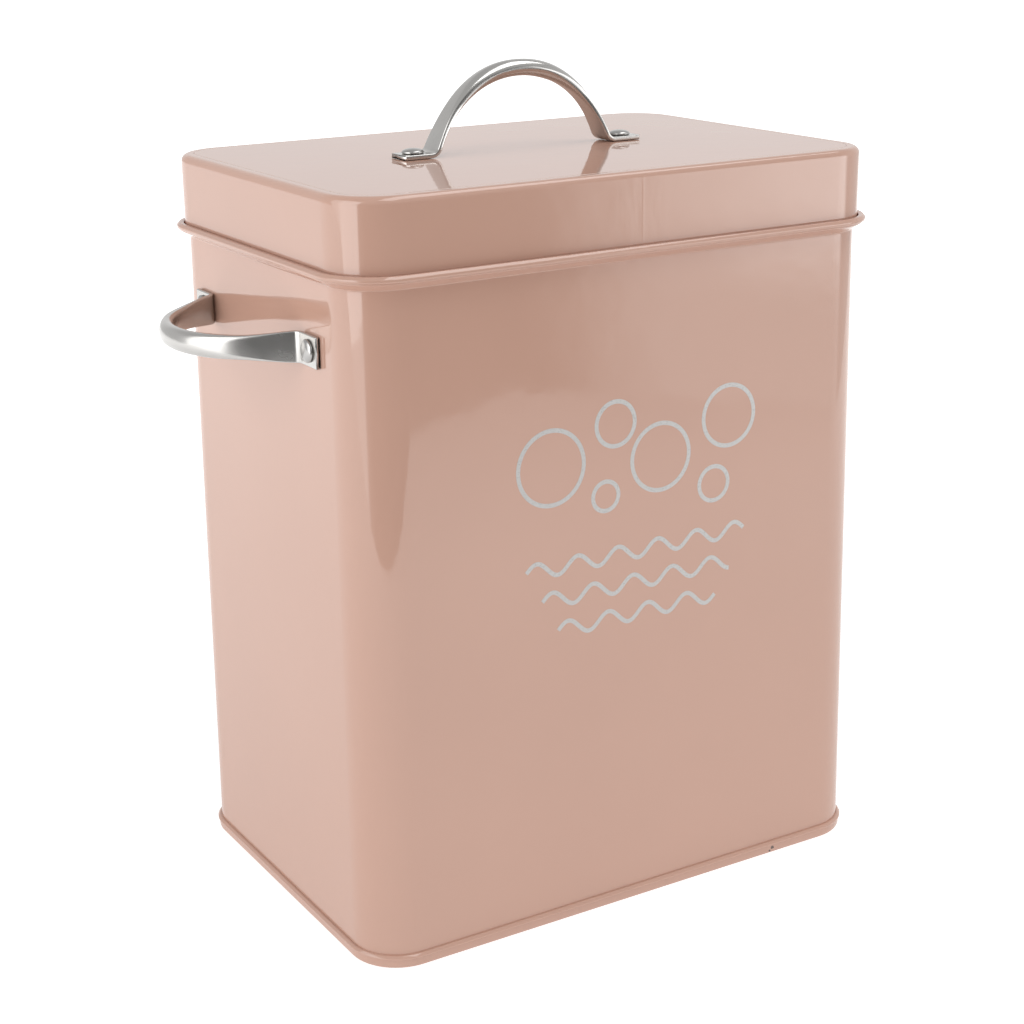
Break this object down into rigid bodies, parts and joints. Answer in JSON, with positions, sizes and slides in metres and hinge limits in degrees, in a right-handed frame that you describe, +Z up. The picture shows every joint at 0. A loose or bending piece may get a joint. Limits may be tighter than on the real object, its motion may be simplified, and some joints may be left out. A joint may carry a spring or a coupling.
{
  "type": "laundry powder container",
  "caption": "Tall rounded-corner tin of painted sheet steel with a lift-off lid and riveted steel strap handles on the lid and both sides.",
  "frame": {"origin": "middle of the footprint, on the surface the tin stands on", "axes": "+Z up; the wide front faces -Y; the side handles are on -X and +X; the lid handle runs along X"},
  "size_m": [0.2638, 0.1476, 0.2855],
  "materials": {
    "pink_paint": "glossy, slight orange peel",
    "polished_steel": "polished",
    "rivet_steel": "polished, a little duller than the handles"
  },
  "bodies": {
    "container": {"body_wall": "pink_paint", "base_panel": "pink_paint", "side_handle_left": "polished_steel", "side_handle_right": "polished_steel", "left_rivet_front": "rivet_steel", "left_rivet_back": "rivet_steel", "right_rivet_front": "rivet_steel", "right_rivet_back": "rivet_steel"},
    "lid": {"lid_skirt": "pink_paint", "lid_top_panel": "pink_paint", "lid_handle": "polished_steel", "lid_rivet_left": "rivet_steel", "lid_rivet_right": "rivet_steel"}
  },
  "joints": [
    {"name": "lid_lift", "type": "slide", "parent": "container", "child": "lid", "axis": [0, 0, 1], "range_m": [0, 0.12]}
  ]
}
